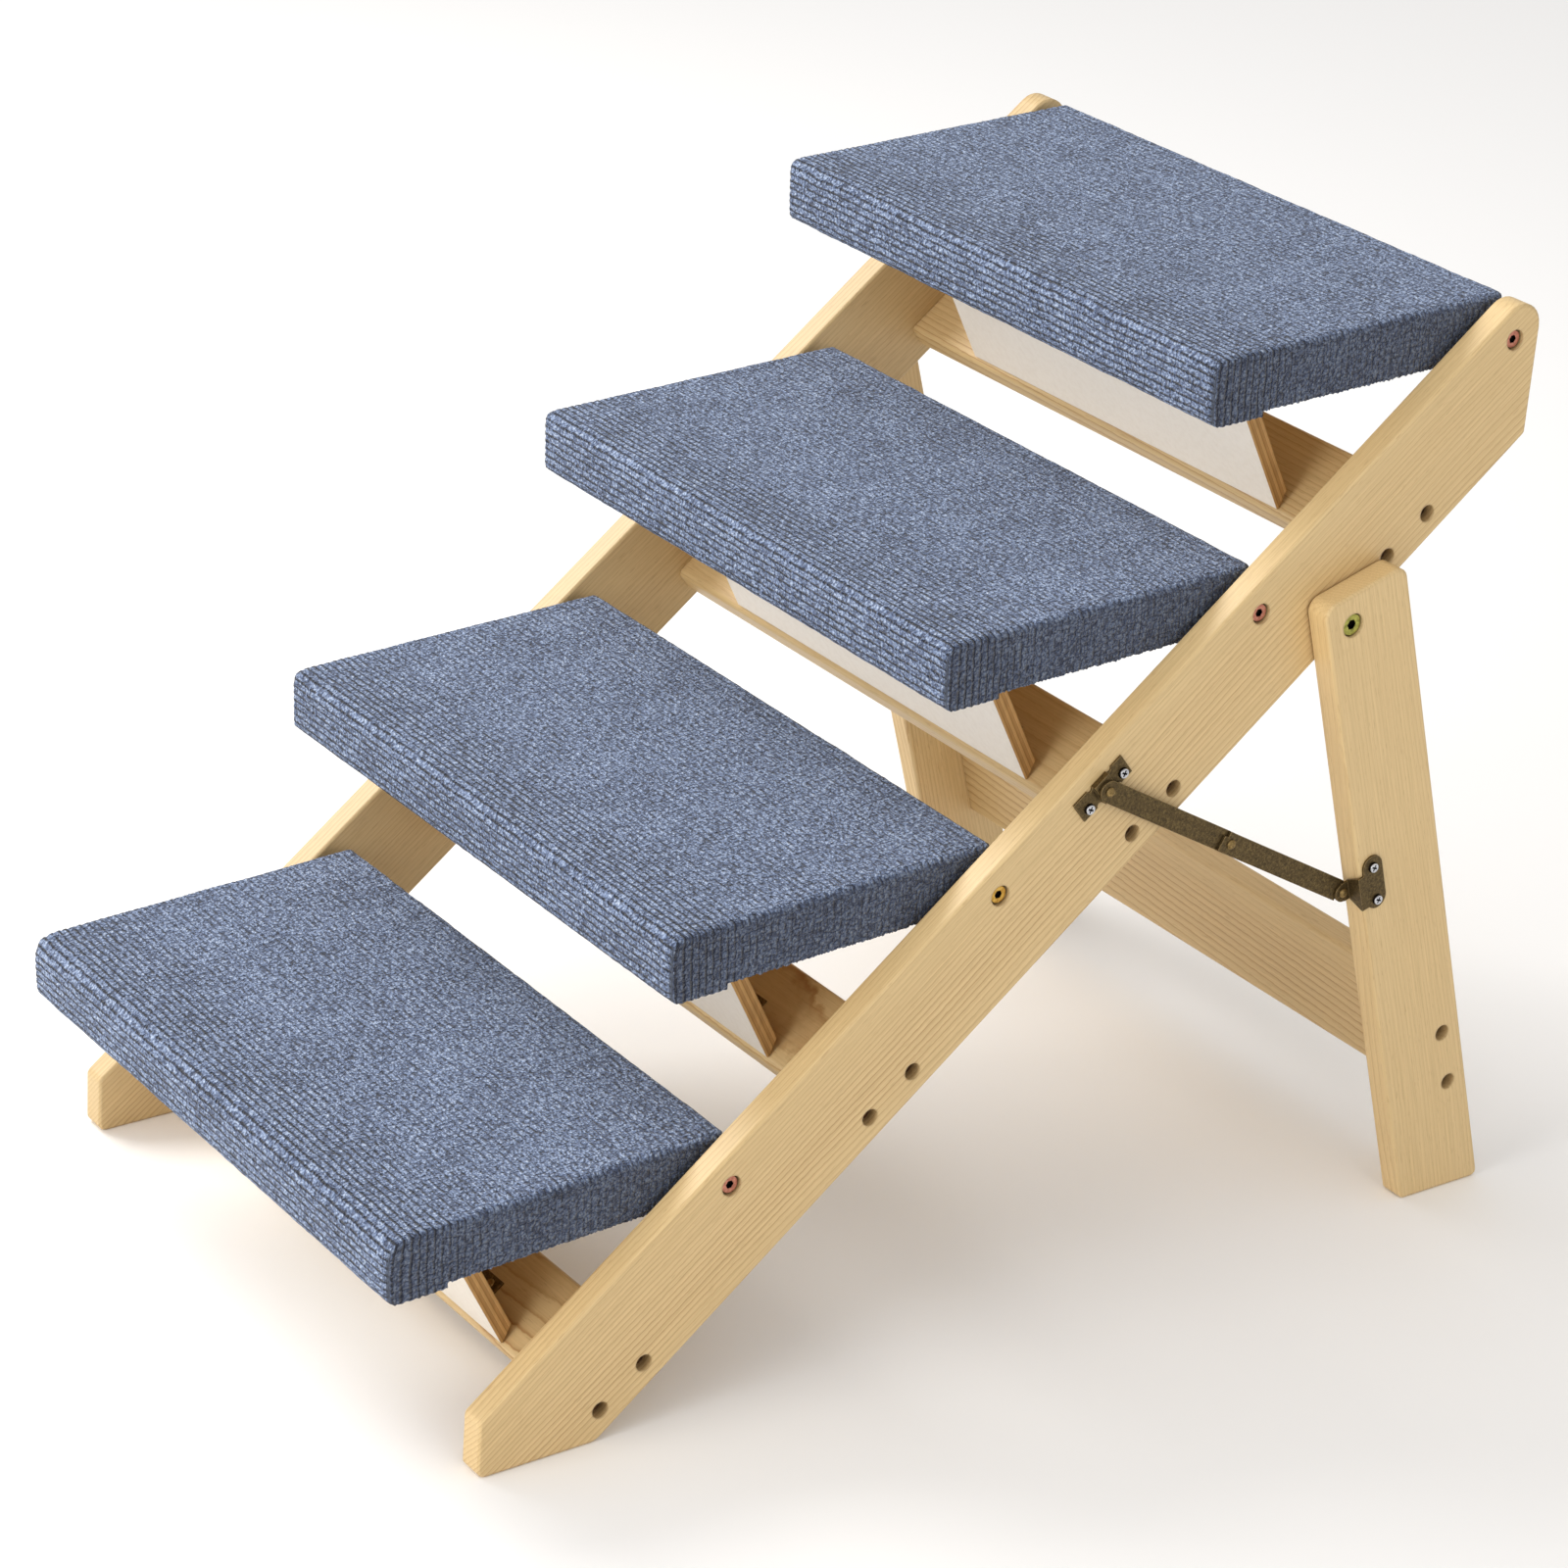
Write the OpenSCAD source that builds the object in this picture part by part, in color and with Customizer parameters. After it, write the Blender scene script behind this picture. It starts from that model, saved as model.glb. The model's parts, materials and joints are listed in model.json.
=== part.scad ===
// Folding dog steps that turn into a ramp: four carpeted treads on two sloping side rails.
// Millimetres, +X is the climbing direction, +Y is the left side, +Z is up, the floor is z = 0.

/* [Frame] */
// slope of the side rails, degrees
slope = 38.72; // [37.5:0.01:39.5]
// distance from one tread pivot to the next, along the rail
pitch = 210; // [208:0.5:214]
// height of the lowest tread pivot above the floor
pivot_z = 133.16; // [131:0.01:135]
// half the width over the rails' outer faces
rail_out = 216.65; // [210:0.01:230]
// thickness of the solid boards
board_t = 16.45; // [15:0.01:17]
// width of the chamfer on the boards' edges
edge = 1.2; // [0.8:0.1:1.6]

/* [Treads] */
// forward tilt of a tread in the step position, degrees
tilt = 2.59; // [2:0.01:3]
// half the width of a covered tread
tread_half = 194.35; // [185:0.01:194.5]
// distance from a tread's pivot to its front
tread_front = 196; // [190:0.5:197]
// distance from a tread's pivot to its rear edge
tread_rear = 11.5; // [10:0.5:12]
// height of a tread's carpet above its pivot
tread_top = 18.3; // [17:0.1:20]
// thickness of the carpet
carpet_t = 3.2; // [2.5:0.1:4]

/* [Flaps] */
// half the width of a support flap
flap_half = 138.3; // [120:0.5:140]
// thickness of a support flap
flap_t = 10.2; // [9.5:0.1:10.5]

/* [Legs] */
// lean of the rear legs from vertical, degrees
lean = 16.85; // [16.5:0.01:17.2]
// width of a leg in front of its pivot
leg_fore = 17.5; // [16:0.1:18]
// width of a leg behind its pivot
leg_aft = 41.5; // [38:0.1:44]
// gap between a rail and its leg
leg_gap = 0.95; // [0.9:0.01:1.2]

/* [Brace] */
// width of a brace arm
arm_w = 12.7; // [11:0.1:14]
// thickness of a brace arm
arm_t = 1.5; // [1.2:0.1:1.5]

/* [Output] */
// which piece to draw

/* [Hidden] */
$fn = 48;
// the middle of the whole length lies at x = 0
pivot_x = -172.5;
cs = cos(slope);
sn = sin(slope);
rail_in = rail_out - board_t;
// side-view points: along and square to the rail's pivot line
function sp(u, v) = [pivot_x + u * cs - v * sn, pivot_z + u * sn + v * cs];
// side-view point of a tread-fixed position (a forward is negative, z up) at pivot k
function tp(k, a, z) = sp((k - 1) * pitch, 0)
    + [a * cos(tilt) - z * sin(tilt), a * sin(tilt) + z * cos(tilt)];
// leg frame: down the leg and forward of the pivot
leg_o = [pivot_x + 380, 385.9];
// the inner and outer faces of the legs
leg_in = rail_out + leg_gap;
leg_out = leg_in + board_t;
function lp(d, f) = leg_o + d * [sin(lean), -cos(lean)] + f * [-cos(lean), -sin(lean)];
function foot(f) = (leg_o[1] - f * sin(lean)) / cos(lean);
// brace rivets in the side view: on the rail, on the leg and at the elbow between the arms
brace_r = sp(291.3, -2.2);
brace_l = lp(172.5, 23.6);
brace_m = (brace_r * 102.4 + brace_l * 104.2) / 206.6;
brace_a = atan2(brace_l[1] - brace_r[1], brace_l[0] - brace_r[0]);
// outer faces of the rail bracket's tab, the upper arm, the lower arm and the leg bracket's tab
lay_tab = rail_out + 3.8;
lay_up = lay_tab + 0.05 + arm_t;
lay_low = lay_up + 0.2 + arm_t;
lay_leg = lay_low + 0.15 + 1.3;
// middles of the hinge leaves, and where their screws sit
leaf_y = [-89, 89];
leaf_half = 19;
leaf_deep = 12;
leaf_hole = 7;
leaf_side = 12;
// depths of the sunk holes over the crossbar screws and the bolts, and of their heads
bar_sink = 8.4;
bar_head = 2.4;
bolt_sink = 5.2;
bolt_face = 2;
leg_sink = 5.4;
leg_face = 1.5;
// wood left behind the threaded insert that a leg bolt screws into
insert_skin = 2.5;
// a flap's corners: bottom front, bottom, bottom rear, top rear, top front
flap_lean = 28;
flap_d = [sin(flap_lean), -cos(flap_lean)];
flap_n = [cos(flap_lean), sin(flap_lean)];
function flap_foot(k) = sp((k - 1) * pitch - 138.5, -32.65);
function flap_heel(k) = meet(flap_foot(k) + flap_n * flap_t, flap_d,
    sp((k - 1) * pitch, -27.65), [cs, sn]);
function flap_top(k, w) = meet(flap_foot(k) + flap_n * w, flap_d,
    tp(k, 0, -16.9), [cos(tilt), sin(tilt)]);
function flap_pts(k) = [flap_foot(k), sp((k - 1) * pitch - 136.5, -32.65), flap_heel(k),
    flap_top(k, flap_t), flap_top(k, 0)];

// rounded convex outline: corner points anticlockwise, a radius for each, all inset by e
function unit(v) = v / norm(v);
function left(v) = [-v[1], v[0]];
function meet(p, d, q, g) = p + d * cross(q - p, g) / cross(d, g);
function shrink(P, e) = [for (i = [0 : len(P) - 1])
    let (n = len(P), a = P[(i + n - 1) % n], b = P[i], c = P[(i + 1) % n],
        d = unit(b - a), g = unit(c - b))
    meet(a + e * left(d), d, b + e * left(g), g)];
function corner(a, b, c, r, n) =
    let (d = unit(a - b), g = unit(c - b), h = acos(d * g) / 2,
        m = b + unit(d + g) * r / sin(h),
        s = b + d * r / tan(h) - m, t = b + g * r / tan(h) - m,
        s0 = atan2(s[1], s[0]), w = (atan2(t[1], t[0]) - s0 + 720) % 360)
    [for (i = [0 : n]) m + r * [cos(s0 + w * i / n), sin(s0 + w * i / n)]];
function rounded(P, R, e = 0) =
    let (Q = shrink(P, e), n = len(P))
    [for (i = [0 : n - 1]) each corner(Q[(i + n - 1) % n], Q[i], Q[(i + 1) % n],
        max(R[i] - e, 0.4), 10)];

rail_pts = [[pivot_x - 150, 0], [pivot_x - 77.2, 0], [pivot_x + 509.5, 470.35],
    [pivot_x + 509.5, 562.55], [pivot_x - 150, 33.75]];
leg_pts = [lp(foot(leg_fore), leg_fore), lp(foot(-leg_aft), -leg_aft),
    lp(-18.3, -leg_aft), lp(-18.3, leg_fore)];

// a side-view outline stretched from y = lo to y = hi
module slab(lo, hi) {
    translate([0, hi, 0])
        rotate([90, 0, 0])
            linear_extrude(hi - lo)
                children();
}

// a round bar along Y through a side-view point
module bar(p, lo, hi, r) {
    translate([p[0], hi, p[1]])
        rotate([90, 0, 0])
            cylinder(h = hi - lo, r = r);
}

// a board with chamfered edges on both faces
module board(P, R, lo, hi) {
    hull() {
        slab(lo + edge, hi - edge)
            polygon(rounded(P, R));
        slab(lo, hi)
            polygon(rounded(P, R, edge));
    }
}

// places a right-hand shape on the left
module other_side() {
    mirror([0, 1, 0])
        children();
}

// a thing drawn at a side-view point and turned in the side view
module at(p, turn = 0) {
    translate([p[0], 0, p[1]])
        rotate([0, -turn, 0])
            children();
}

// pan-head screw whose head's outer face is at y = out, pointing to +Y
module screw_y(p, out, head_r, head_h, r, len) {
    translate([p[0], out, p[1]])
        difference() {
            union() {
                rotate([-90, 0, 0])
                    cylinder(h = head_h, r1 = head_r - 0.5, r2 = head_r);
                rotate([-90, 0, 0])
                    cylinder(h = head_h + len, r = r);
            }
            for (q = [0, 90])
                rotate([0, q + 20, 0])
                    translate([-head_r * 0.6, -1, -0.5])
                        cube([head_r * 1.2, 2.2, 1]);
        }
}

// where the crossbar screws sit, for pivot k
function bar_screws(k) = [sp((k - 1) * pitch - 96.7, -41.7), sp((k - 1) * pitch - 130.25, -41.7)];

module rail_right_shape() {
    difference() {
        board(rail_pts, [5, 10, 4, 14.3, 5], -rail_out, -rail_in);
        for (k = [1 : 4]) {
            bar(sp((k - 1) * pitch, 0), -rail_out - 1, -rail_in + 1, 3.05);
            bar(sp((k - 1) * pitch, 0), -rail_out - 1, -rail_out + bolt_sink, 6);
            for (s = bar_screws(k)) {
                bar(s, -rail_out - 1, -rail_in + 1, 2.05);
                bar(s, -rail_out - 1, -rail_out + bar_sink, 5);
            }
        }
        bar(leg_o, -rail_out - 1, -rail_in - insert_skin, 5.3);
        for (u = [277.5, 304.6])
            bar(sp(u, -3.4), -rail_out - 1, -rail_out + 12, 1.65);
        bar(brace_r, -rail_out - 1, -rail_out + 8, 2.05);
    }
}

module rail_right() {
    color([0.84, 0.73, 0.55])
        rail_right_shape();
}

module rail_left() {
    color([0.84, 0.73, 0.55])
        other_side()
            rail_right_shape();
}

module crossbar(k) {
    b = (k - 1) * pitch;
    color([0.82, 0.70, 0.50])
        difference() {
            slab(-rail_in, rail_in)
                polygon(rounded([sp(b - 141, -49.95), sp(b - 87.4, -49.95),
                    sp(b - 87.4, -33.45), sp(b - 141, -33.45)], [4, 2, 2, 4]));
            for (s = bar_screws(k)) {
                bar(s, -rail_in - 1, -rail_in + 27, 2.05);
                bar(s, rail_in - 27, rail_in + 1, 2.05);
            }
            for (y = leaf_y)
                for (x = [-1, 1])
                    at(sp(b - 125 + leaf_hole, -33.45), slope)
                        translate([0, y + x * leaf_side, -12])
                            cylinder(h = 13, r = 1.25);
        }
}

module crossbar_screws() {
    color([0.42, 0.30, 0.18])
        for (k = [1 : 4])
            for (s = bar_screws(k)) {
                screw_y(s, -rail_out + bar_sink - bar_head, 3.9, bar_head, 2, 32);
                other_side()
                    screw_y(s, -rail_out + bar_sink - bar_head, 3.9, bar_head, 2, 32);
            }
}

// the bare tread: e is how far it lies inside the carpet
module tread_block(k, e) {
    half = tread_half - e;
    intersection() {
        slab(-half, half)
            polygon(rounded([tp(k, -tread_front + e, -16.25), tp(k, tread_rear - e, -16.25),
                tp(k, tread_rear - e, tread_top - e), tp(k, -tread_front + e, tread_top - e)],
                [3.4, 1.2, 3 - e / 2, 9 - e]));
        tread_plan(k, e);
    }
}

// plan outline of a tread, as a tall column
module tread_plan(k, e) {
    half = tread_half - e;
    f = pivot_x + (k - 1) * pitch * cs - tread_front + e;
    g = f + tread_front + tread_rear - 2 * e + 0.6;
    translate([0, 0, pivot_z + (k - 1) * pitch * sn - 60])
        linear_extrude(120)
            polygon(rounded([[f - 0.6, -half], [g, -half], [g, half], [f - 0.6, half]],
                [5 - e, 6 - e, 6 - e, 5 - e]));
}

module sleeve_holes(k) {
    bar(tp(k, 0, 0), -tread_half - 1, -tread_half + 30, 4.6);
    bar(tp(k, 0, 0), tread_half - 30, tread_half + 1, 4.6);
    bar(tp(k, 0, 0), -tread_half - 1, -tread_half + 5.3, 7.1);
    bar(tp(k, 0, 0), tread_half - 5.3, tread_half + 1, 7.1);
}

module tread_board(k) {
    color([0.80, 0.66, 0.45])
        difference() {
            tread_block(k, carpet_t);
            sleeve_holes(k);
        }
}

// carpet over the top, the front, the sides and the rear, and a strip turned under the front
module tread_carpet(k) {
    f = -tread_front;
    color([0.43, 0.49, 0.63])
        difference() {
            intersection() {
                slab(-tread_half, tread_half) {
                    polygon(rounded([tp(k, f, -16.6), tp(k, tread_rear, -16.6),
                        tp(k, tread_rear, tread_top), tp(k, f, tread_top)], [0.5, 0.8, 3, 9]));
                    polygon(rounded([tp(k, f, -19.6), tp(k, -160, -19.6),
                        tp(k, -160, -5), tp(k, f, -5)], [6.5, 1.5, 0.5, 0.5]));
                }
                tread_plan(k, 0);
            }
            tread_block(k, carpet_t);
            sleeve_holes(k);
        }
}

// flanged sleeves let into a tread's ends, which stand the tread off the rails
module tread_sleeves(k) {
    p = tp(k, 0, 0);
    color([0.75, 0.74, 0.70])
        for (m = [0, 1])
            mirror([0, m, 0])
                difference() {
                    union() {
                        bar(p, -rail_in + 0.3, -tread_half + 5.2, 7);
                        bar(p, -rail_in + 0.3, -tread_half + 29.8, 4.5);
                    }
                    bar(p, -rail_in - 1, -tread_half + 31, 3.05);
                }
}

// pivot bolts of a tread, with sunken heads
module tread_bolts(k) {
    p = tp(k, 0, 0);
    color([0.72, 0.50, 0.42])
        for (m = [0, 1])
            mirror([0, m, 0])
                difference() {
                    union() {
                        bar(p, -rail_out + bolt_face, -rail_out + bolt_sink - 0.1, 4.9);
                        bar(p, -rail_out + bolt_face, -rail_out + 46, 3);
                    }
                    translate([p[0], -rail_out + bolt_face - 1, p[1]])
                        rotate([-90, 0, 0])
                            cylinder(h = 3.2, r = 2.5, $fn = 6);
                }
}

module flap(k) {
    color([0.87, 0.82, 0.76])
        difference() {
            slab(-flap_half, flap_half)
                polygon(rounded(flap_pts(k), [0.5, 0.5, 1.5, 0.8, 0.5]));
            for (y = leaf_y)
                for (x = [-1, 1])
                    at(flap_heel(k) - flap_d * (2 + leaf_hole), flap_lean - 90)
                        translate([0, y + x * leaf_side, -8])
                            cylinder(h = 9, r = 1.25);
        }
}

// small screw standing on z = 0 of its own frame
module leaf_screw() {
    difference() {
        union() {
            cylinder(h = 0.9, r1 = 2.7, r2 = 2.2);
            translate([0, 0, -8])
                cylinder(h = 8.5, r = 1.2);
        }
        for (q = [15, 105])
            rotate([0, 0, q])
                translate([-1.4, -0.3, 0.4])
                    cube([2.8, 0.6, 1]);
    }
}

// hinge leaves with their barrels, on the crossbars behind the flaps
module hinge_leaves() {
    color([0.46, 0.36, 0.22])
        for (k = [1 : 4])
            for (y = leaf_y)
                at(sp((k - 1) * pitch - 125, -33.45), slope)
                    translate([0, y, 0])
                        difference() {
                            union() {
                                translate([0, -leaf_half, 0])
                                    cube([leaf_deep, 2 * leaf_half, 1.2]);
                                translate([0, leaf_half, 2.2])
                                    rotate([90, 0, 0])
                                        cylinder(h = 2 * leaf_half, r = 2.1);
                            }
                            for (x = [-1, 1])
                                translate([leaf_hole, x * leaf_side, -1])
                                    cylinder(h = 4, r = 1.4);
                        }
}

module hinge_screws() {
    color([0.60, 0.52, 0.36])
        for (k = [1 : 4])
            for (y = leaf_y)
                for (x = [-1, 1])
                    at(sp((k - 1) * pitch - 125 + leaf_hole, -32.2), slope)
                        translate([0, y + x * leaf_side, 0])
                            leaf_screw();
}

// the other leaves, on the flaps' rear faces
module flap_leaves(k) {
    color([0.46, 0.36, 0.22])
        for (y = leaf_y)
            at(flap_heel(k), flap_lean - 90)
                difference() {
                    translate([-2.5 - leaf_deep, y - leaf_half, 0.02])
                        cube([leaf_deep, 2 * leaf_half, 1.2]);
                    for (x = [-1, 1])
                        translate([-2 - leaf_hole, y + x * leaf_side, -1])
                            cylinder(h = 4, r = 1.4);
                }
}

module flap_screws(k) {
    color([0.60, 0.52, 0.36])
        for (y = leaf_y)
            for (x = [-1, 1])
                at(flap_heel(k) - flap_d * (2 + leaf_hole) + flap_n * 1.25, flap_lean - 90)
                    translate([0, y + x * leaf_side, 0])
                        scale([1, 1, 0.85])
                            leaf_screw();
}

module leg_right_shape() {
    difference() {
        board(leg_pts, [4, 4, 8, 8], -leg_out, -leg_in);
        bar(leg_o, -leg_out - 1, -leg_in + 1, 4.05);
        bar(leg_o, -leg_out - 1, -leg_out + leg_sink, 7);
        for (d = [299.4, 335.7]) {
            bar(lp(d, -27.6), -leg_out - 1, -leg_in + 1, 2.05);
            bar(lp(d, -27.6), -leg_out - 1, -leg_out + bar_sink, 5);
        }
        for (d = [158.1, 180.5])
            bar(lp(d, 8.4), -leg_out - 1, -leg_out + 12, 1.65);
    }
}

module leg_right() {
    color([0.86, 0.75, 0.56])
        leg_right_shape();
}

module leg_left() {
    color([0.86, 0.75, 0.56])
        other_side()
            leg_right_shape();
}

module leg_crossbar() {
    color([0.80, 0.68, 0.48])
        difference() {
            slab(-leg_in, leg_in)
                polygon(rounded([lp(348, -19.4), lp(348, -35.85), lp(268, -35.85),
                    lp(268, -19.4)], [3, 3, 3, 3]));
            for (d = [299.4, 335.7]) {
                bar(lp(d, -27.6), -leg_in - 1, -leg_in + 27, 2.05);
                bar(lp(d, -27.6), leg_in - 27, leg_in + 1, 2.05);
            }
        }
}

module leg_crossbar_screws() {
    color([0.42, 0.30, 0.18])
        for (d = [299.4, 335.7]) {
            screw_y(lp(d, -27.6), -leg_out + bar_sink - bar_head, 3.9, bar_head, 2, 32);
            other_side()
                screw_y(lp(d, -27.6), -leg_out + bar_sink - bar_head, 3.9, bar_head, 2, 32);
        }
}

module leg_bolts() {
    color([0.45, 0.45, 0.30])
        for (m = [0, 1])
            mirror([0, m, 0])
                difference() {
                    union() {
                        bar(leg_o, -leg_out + leg_face, -leg_out + leg_sink - 0.1, 6.2);
                        bar(leg_o, -leg_out + leg_face, -rail_in - insert_skin - 1, 4);
                    }
                    translate([leg_o[0], -leg_out + leg_face - 1, leg_o[1]])
                        rotate([-90, 0, 0])
                            cylinder(h = 3.6, r = 3.1, $fn = 6);
                }
}

module leg_washers() {
    color([0.70, 0.70, 0.68])
        for (m = [0, 1])
            mirror([0, m, 0])
                difference() {
                    bar(leg_o, -rail_out - 0.85, -rail_out, 9);
                    bar(leg_o, -rail_out - 2, -rail_out + 1, 4.3);
                }
}

// threaded inserts let into the rails from outside, ending inside the board
module leg_nuts() {
    color([0.62, 0.60, 0.50])
        for (m = [0, 1])
            mirror([0, m, 0])
                difference() {
                    bar(leg_o, -rail_out + 0.1, -rail_in - insert_skin - 0.1, 5.2);
                    bar(leg_o, -rail_out - 1, -rail_in - insert_skin + 1, 4.05);
                }
}

// folding brace: a plate on the rail with a raised tab, two arms and a plate on the leg
module rail_bracket() {
    difference() {
        union() {
            at(sp(290.3, -0.6), slope)
                translate([-19, -rail_out - 1.2, -7])
                    cube([38, 1.2, 14]);
            at(sp(291.3, -0.6), slope)
                translate([-5.5, -lay_tab, -7])
                    cube([11, lay_tab - rail_out - 0.6, 14]);
        }
        for (x = [-7.6, 7.6])
            for (z = [-7, 7])
                at(sp(291.3 + x, -0.6 + z), slope)
                    translate([0, -rail_out + 1, 0])
                        rotate([90, 0, 0])
                            cylinder(h = 3, r = 1.8);
        for (u = [277.5, 304.6])
            bar(sp(u, -3.4), -lay_tab - 1, -rail_out + 1, 1.75);
        bar(brace_r, -lay_tab - 1, -rail_out + 1, 2.05);
    }
}

module rail_brackets() {
    color([0.30, 0.26, 0.18]) {
        rail_bracket();
        other_side()
            rail_bracket();
    }
}

module rail_bracket_screws() {
    color([0.74, 0.74, 0.74])
        for (u = [277.5, 304.6]) {
            screw_y(sp(u, -3.4), -rail_out - 2.9, 3.2, 1.7, 1.6, 12);
            other_side()
                screw_y(sp(u, -3.4), -rail_out - 2.9, 3.2, 1.7, 1.6, 12);
        }
}

// a box in the leg's frame: down from d0 to d1, forward from f0 to f1, y from lo to hi
module leg_box(d0, d1, f0, f1, lo, hi) {
    slab(lo, hi)
        polygon([lp(d1, f1), lp(d1, f0), lp(d0, f0), lp(d0, f1)]);
}

module leg_bracket() {
    difference() {
        union() {
            slab(-leg_out - 1.3, -leg_out)
                polygon(rounded([lp(186, 15.4), lp(186, 1.4), lp(151, 1.4), lp(151, 15.4)],
                    [6.9, 6.9, 6.9, 6.9]));
            leg_box(161, 183, 11, 19.4, -leg_out - 1.3, -leg_out);
            hull() {
                leg_box(161, 183, 18.2, 19.4, -leg_out - 1.3, -leg_out);
                leg_box(166.3, 178.6, 18.2, 19.4, -lay_leg, -lay_leg + 1.3);
            }
            intersection() {
                union() {
                    bar(brace_l, -lay_leg, -lay_leg + 1.3, 5.6);
                    leg_box(166.5, 178.5, 18.2, 23.6, -lay_leg, -lay_leg + 1.3);
                }
                leg_box(160, 190, 18.2, 40, -lay_leg - 1, -lay_leg + 2);
            }
        }
        for (d = [158.1, 180.5])
            bar(lp(d, 8.4), -leg_out - 3, -leg_out + 1, 1.75);
        bar(brace_l, -lay_leg - 1, -lay_leg + 2, 2.05);
    }
}

module leg_brackets() {
    color([0.30, 0.26, 0.18]) {
        leg_bracket();
        other_side()
            leg_bracket();
    }
}

module leg_bracket_screws() {
    color([0.74, 0.74, 0.74])
        for (d = [158.1, 180.5]) {
            screw_y(lp(d, 8.4), -leg_out - 3, 3.2, 1.7, 1.6, 12);
            other_side()
                screw_y(lp(d, 8.4), -leg_out - 3, 3.2, 1.7, 1.6, 12);
        }
}

// a brace arm from p to q, with its outer face at y = -face, round ends of radii a and b
module arm(p, q, face, a, b) {
    g = norm(q - p);
    difference() {
        union() {
            bar(p, -face, -face + arm_t, a);
            bar(q, -face, -face + arm_t, b);
            at(p, brace_a)
                translate([2, -face, -arm_w / 2])
                    cube([g - 4.5, arm_t, arm_w]);
        }
        bar(p, -face - 1, -face + arm_t + 1, 2.05);
        bar(q, -face - 1, -face + arm_t + 1, 2.05);
    }
}

module upper_arm_right() {
    color([0.30, 0.26, 0.18])
        arm(brace_r, brace_m, lay_up, arm_w / 2, arm_w / 2);
}

module upper_arm_left() {
    color([0.30, 0.26, 0.18])
        other_side()
            arm(brace_r, brace_m, lay_up, arm_w / 2, arm_w / 2);
}

// the lower arm ends past the elbow in a square heel with a notched corner
module lower_arm() {
    difference() {
        union() {
            arm(brace_m, brace_l, lay_low, arm_w / 2, 5.2);
            at(brace_m, brace_a)
                translate([-7, -lay_low, -arm_w / 2])
                    cube([8, arm_t, arm_w]);
        }
        bar(brace_m, -lay_low - 1, -lay_low + arm_t + 1, 2.05);
        at(brace_m, brace_a)
            translate([-8, -lay_low - 1, arm_w / 2 - 3.4])
                cube([3.8, arm_t + 2, 4]);
    }
}

module lower_arm_right() {
    color([0.30, 0.26, 0.18])
        lower_arm();
}

module lower_arm_left() {
    color([0.30, 0.26, 0.18])
        other_side()
            lower_arm();
}

// rivet with its domed head outside y = -face and its shank ending at y = -end
module rivet(p, face, end) {
    translate([p[0], -face, p[1]])
        rotate([90, 0, 0]) {
            cylinder(h = 0.6, r = 2.8);
            translate([0, 0, 0.6])
                cylinder(h = 0.6, r1 = 2.8, r2 = 2.3);
            translate([0, 0, 1.2])
                cylinder(h = 0.4, r1 = 2.3, r2 = 1.3);
            translate([0, 0, end - face])
                cylinder(h = face - end + 0.2, r = 2);
        }
}

module rail_rivets() {
    color([0.34, 0.29, 0.20]) {
        rivet(brace_r, lay_up + 0.05, rail_out - 6);
        other_side()
            rivet(brace_r, lay_up + 0.05, rail_out - 6);
    }
}

module leg_rivet() {
    rivet(brace_l, lay_leg, lay_low - arm_t - 0.6);
    bar(brace_l, -lay_low + arm_t + 0.1, -lay_low + arm_t + 0.9, 3.1);
}

module leg_rivets() {
    color([0.34, 0.29, 0.20]) {
        leg_rivet();
        other_side()
            leg_rivet();
    }
}

module elbow_rivet_right() {
    color([0.34, 0.29, 0.20])
        rivet(brace_m, lay_low, lay_low - arm_t);
}

module elbow_rivet_left() {
    color([0.34, 0.29, 0.20])
        other_side()
            rivet(brace_m, lay_low, lay_low - arm_t);
}

rail_left();
rail_right();
crossbar(1);  // crossbar_1
crossbar(2);  // crossbar_2
crossbar(3);  // crossbar_3
crossbar(4);  // crossbar_4
crossbar_screws();
tread_board(1);  // tread_board_1
tread_board(2);  // tread_board_2
tread_board(3);  // tread_board_3
tread_board(4);  // tread_board_4
tread_carpet(1);  // tread_carpet_1
tread_carpet(2);  // tread_carpet_2
tread_carpet(3);  // tread_carpet_3
tread_carpet(4);  // tread_carpet_4
tread_bolts(1);  // tread_bolts_1
tread_bolts(2);  // tread_bolts_2
tread_bolts(3);  // tread_bolts_3
tread_bolts(4);  // tread_bolts_4
tread_sleeves(1);  // tread_sleeves_1
tread_sleeves(2);  // tread_sleeves_2
tread_sleeves(3);  // tread_sleeves_3
tread_sleeves(4);  // tread_sleeves_4
flap(1);  // flap_1
flap(2);  // flap_2
flap(3);  // flap_3
flap(4);  // flap_4
hinge_leaves();
hinge_screws();
flap_leaves(1);  // flap_leaves_1
flap_leaves(2);  // flap_leaves_2
flap_leaves(3);  // flap_leaves_3
flap_leaves(4);  // flap_leaves_4
flap_screws(1);  // flap_screws_1
flap_screws(2);  // flap_screws_2
flap_screws(3);  // flap_screws_3
flap_screws(4);  // flap_screws_4
leg_left();
leg_right();
leg_crossbar();
leg_crossbar_screws();
leg_bolts();
leg_washers();
leg_nuts();
rail_brackets();
rail_bracket_screws();
leg_brackets();
leg_bracket_screws();
upper_arm_left();
upper_arm_right();
lower_arm_left();
lower_arm_right();
rail_rivets();
leg_rivets();
elbow_rivet_left();
elbow_rivet_right();
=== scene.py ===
"""Folding dog steps in wood with carpeted treads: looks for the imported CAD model."""
import json
import math
import bpy
import bmesh
import numpy as np
from mathutils import Matrix, Vector

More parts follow.
